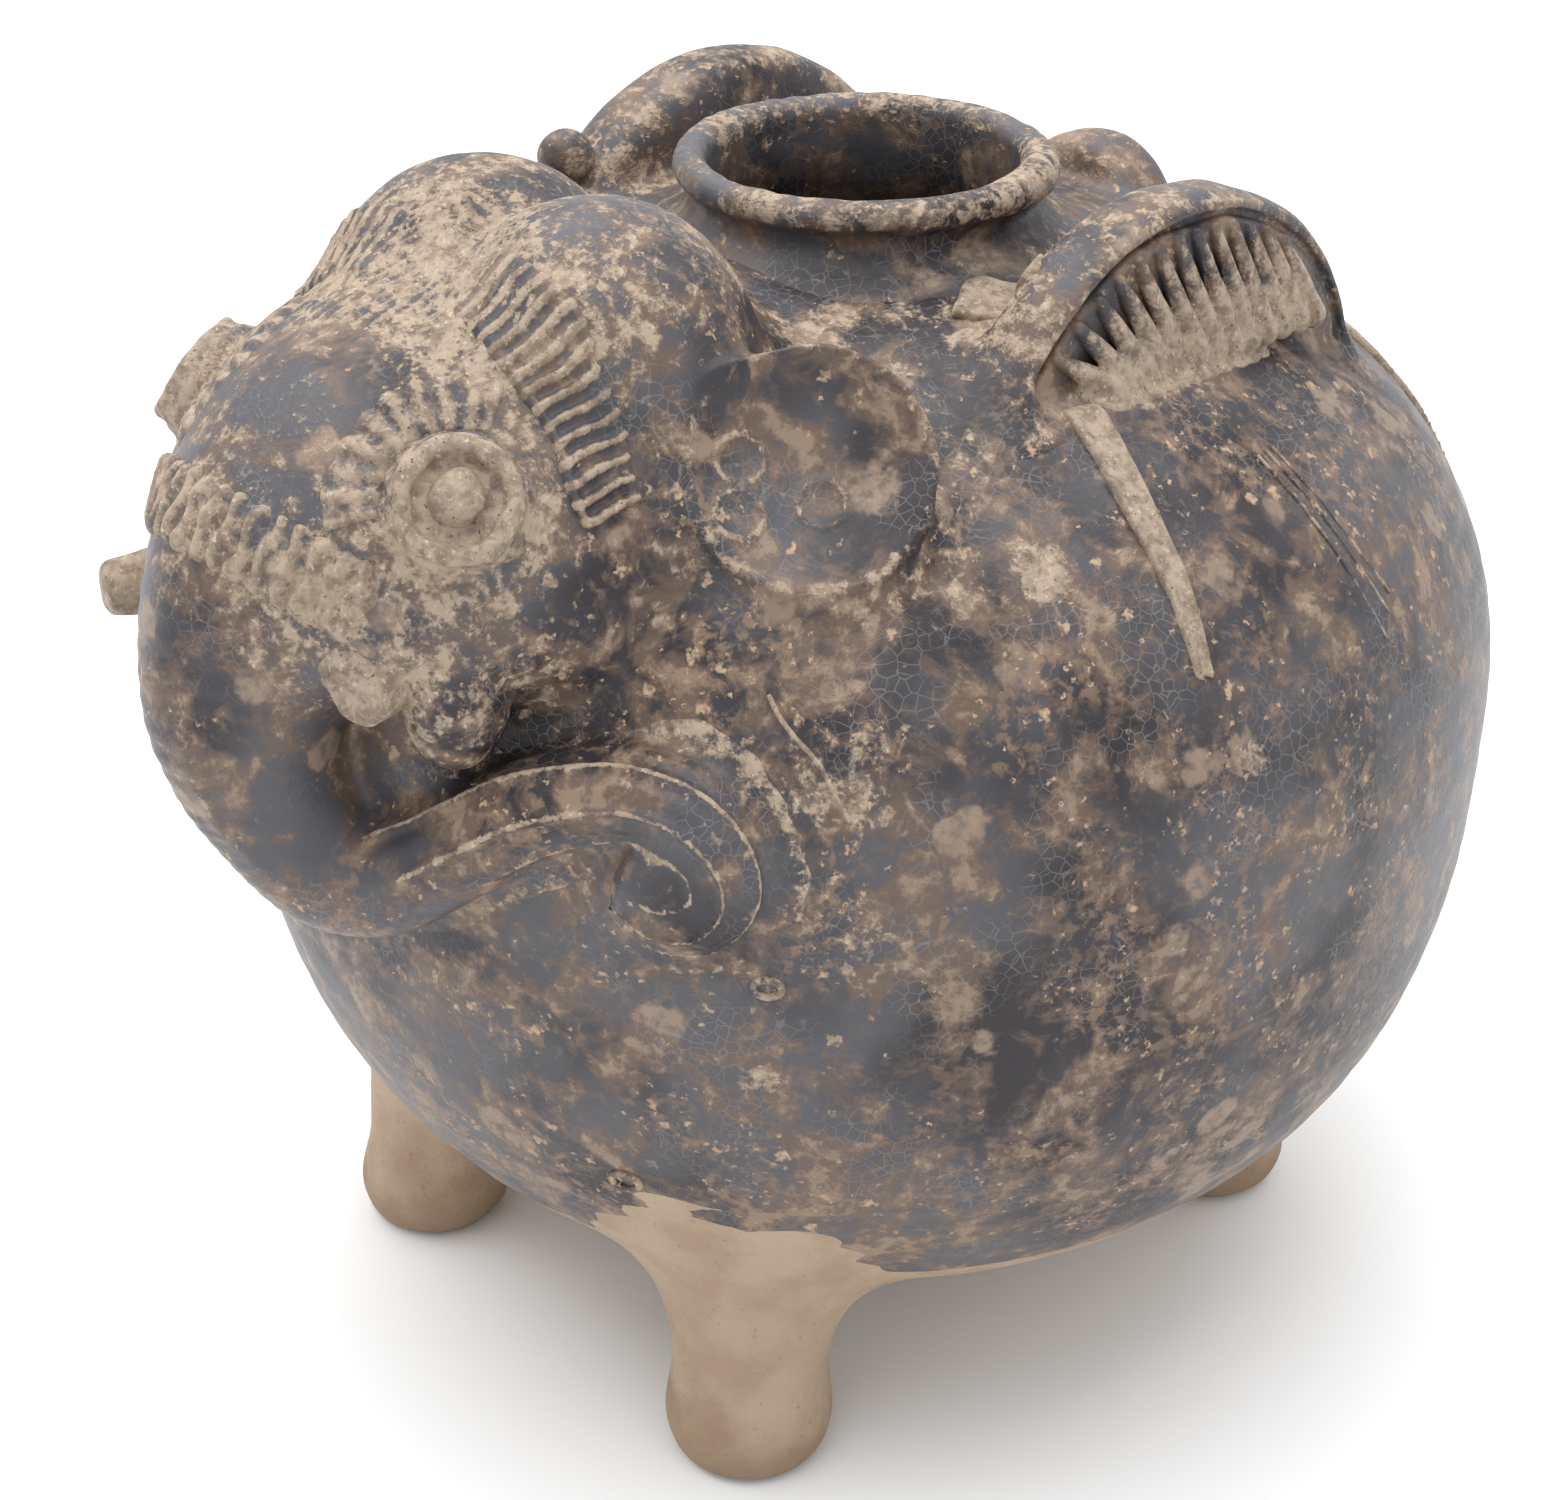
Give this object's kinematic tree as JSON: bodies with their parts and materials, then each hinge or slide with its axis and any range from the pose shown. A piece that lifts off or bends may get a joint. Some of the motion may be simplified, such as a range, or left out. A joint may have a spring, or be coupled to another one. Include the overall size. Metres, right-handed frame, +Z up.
{
  "type": "zoomorphic lime pot",
  "caption": "Round brown-glazed stoneware elephant pot for betel lime, on short legs, with a rimmed mouth in its back and a trunk curled on its chest.",
  "frame": {"origin": "centre of the bounding box in plan, on the surface that the feet stand on", "axes": "-Y the way the elephant faces, +X its left side, +Z up"},
  "size_m": [0.132, 0.1528, 0.1288],
  "materials": {
    "brown_glaze": "thin dark brown glaze, mottled tan and crazed",
    "worn_glaze": "brown glaze worn to tan on the ridges",
    "glaze_over_bare_foot": "dark brown glaze that ends in drips above a bare base",
    "ash_crusted_glaze": "brown glaze with a gritty ash-grey crust",
    "bare_stoneware": "unglazed tan stoneware, matte",
    "broken_clay": "rough broken tan clay, matte"
  },
  "bodies": {
    "root": {"body_shoulder": "brown_glaze", "head": "brown_glaze", "forehead_left": "brown_glaze", "forehead_right": "brown_glaze", "trunk": "brown_glaze", "tusk_right": "brown_glaze", "lip_left": "brown_glaze", "lip_right": "brown_glaze", "ear_left": "brown_glaze", "ear_right": "brown_glaze", "harness_roll_left": "brown_glaze", "harness_roll_right": "brown_glaze", "harness_roll_rear": "brown_glaze", "harness_bead_right": "brown_glaze", "tail": "brown_glaze", "noseband": "worn_glaze", "headband_left": "worn_glaze", "headband_right": "worn_glaze", "brow_left": "worn_glaze", "brow_right": "worn_glaze", "eye_ring_left": "worn_glaze", "eye_ring_right": "worn_glaze", "harness_fringe_left": "worn_glaze", "harness_fringe_right": "worn_glaze", "foot_front_left": "bare_stoneware", "foot_front_right": "bare_stoneware", "foot_rear_left": "bare_stoneware", "foot_rear_right": "bare_stoneware", "tusk_left": "broken_clay", "eye_pellet_left": "broken_clay", "eye_pellet_right": "broken_clay", "strap_front_left": "broken_clay", "strap_front_right": "broken_clay", "strap_rear_left": "broken_clay", "strap_rear_right": "broken_clay", "body_bowl": "glaze_over_bare_foot", "neck_rim": "ash_crusted_glaze"}
  },
  "joints": []
}
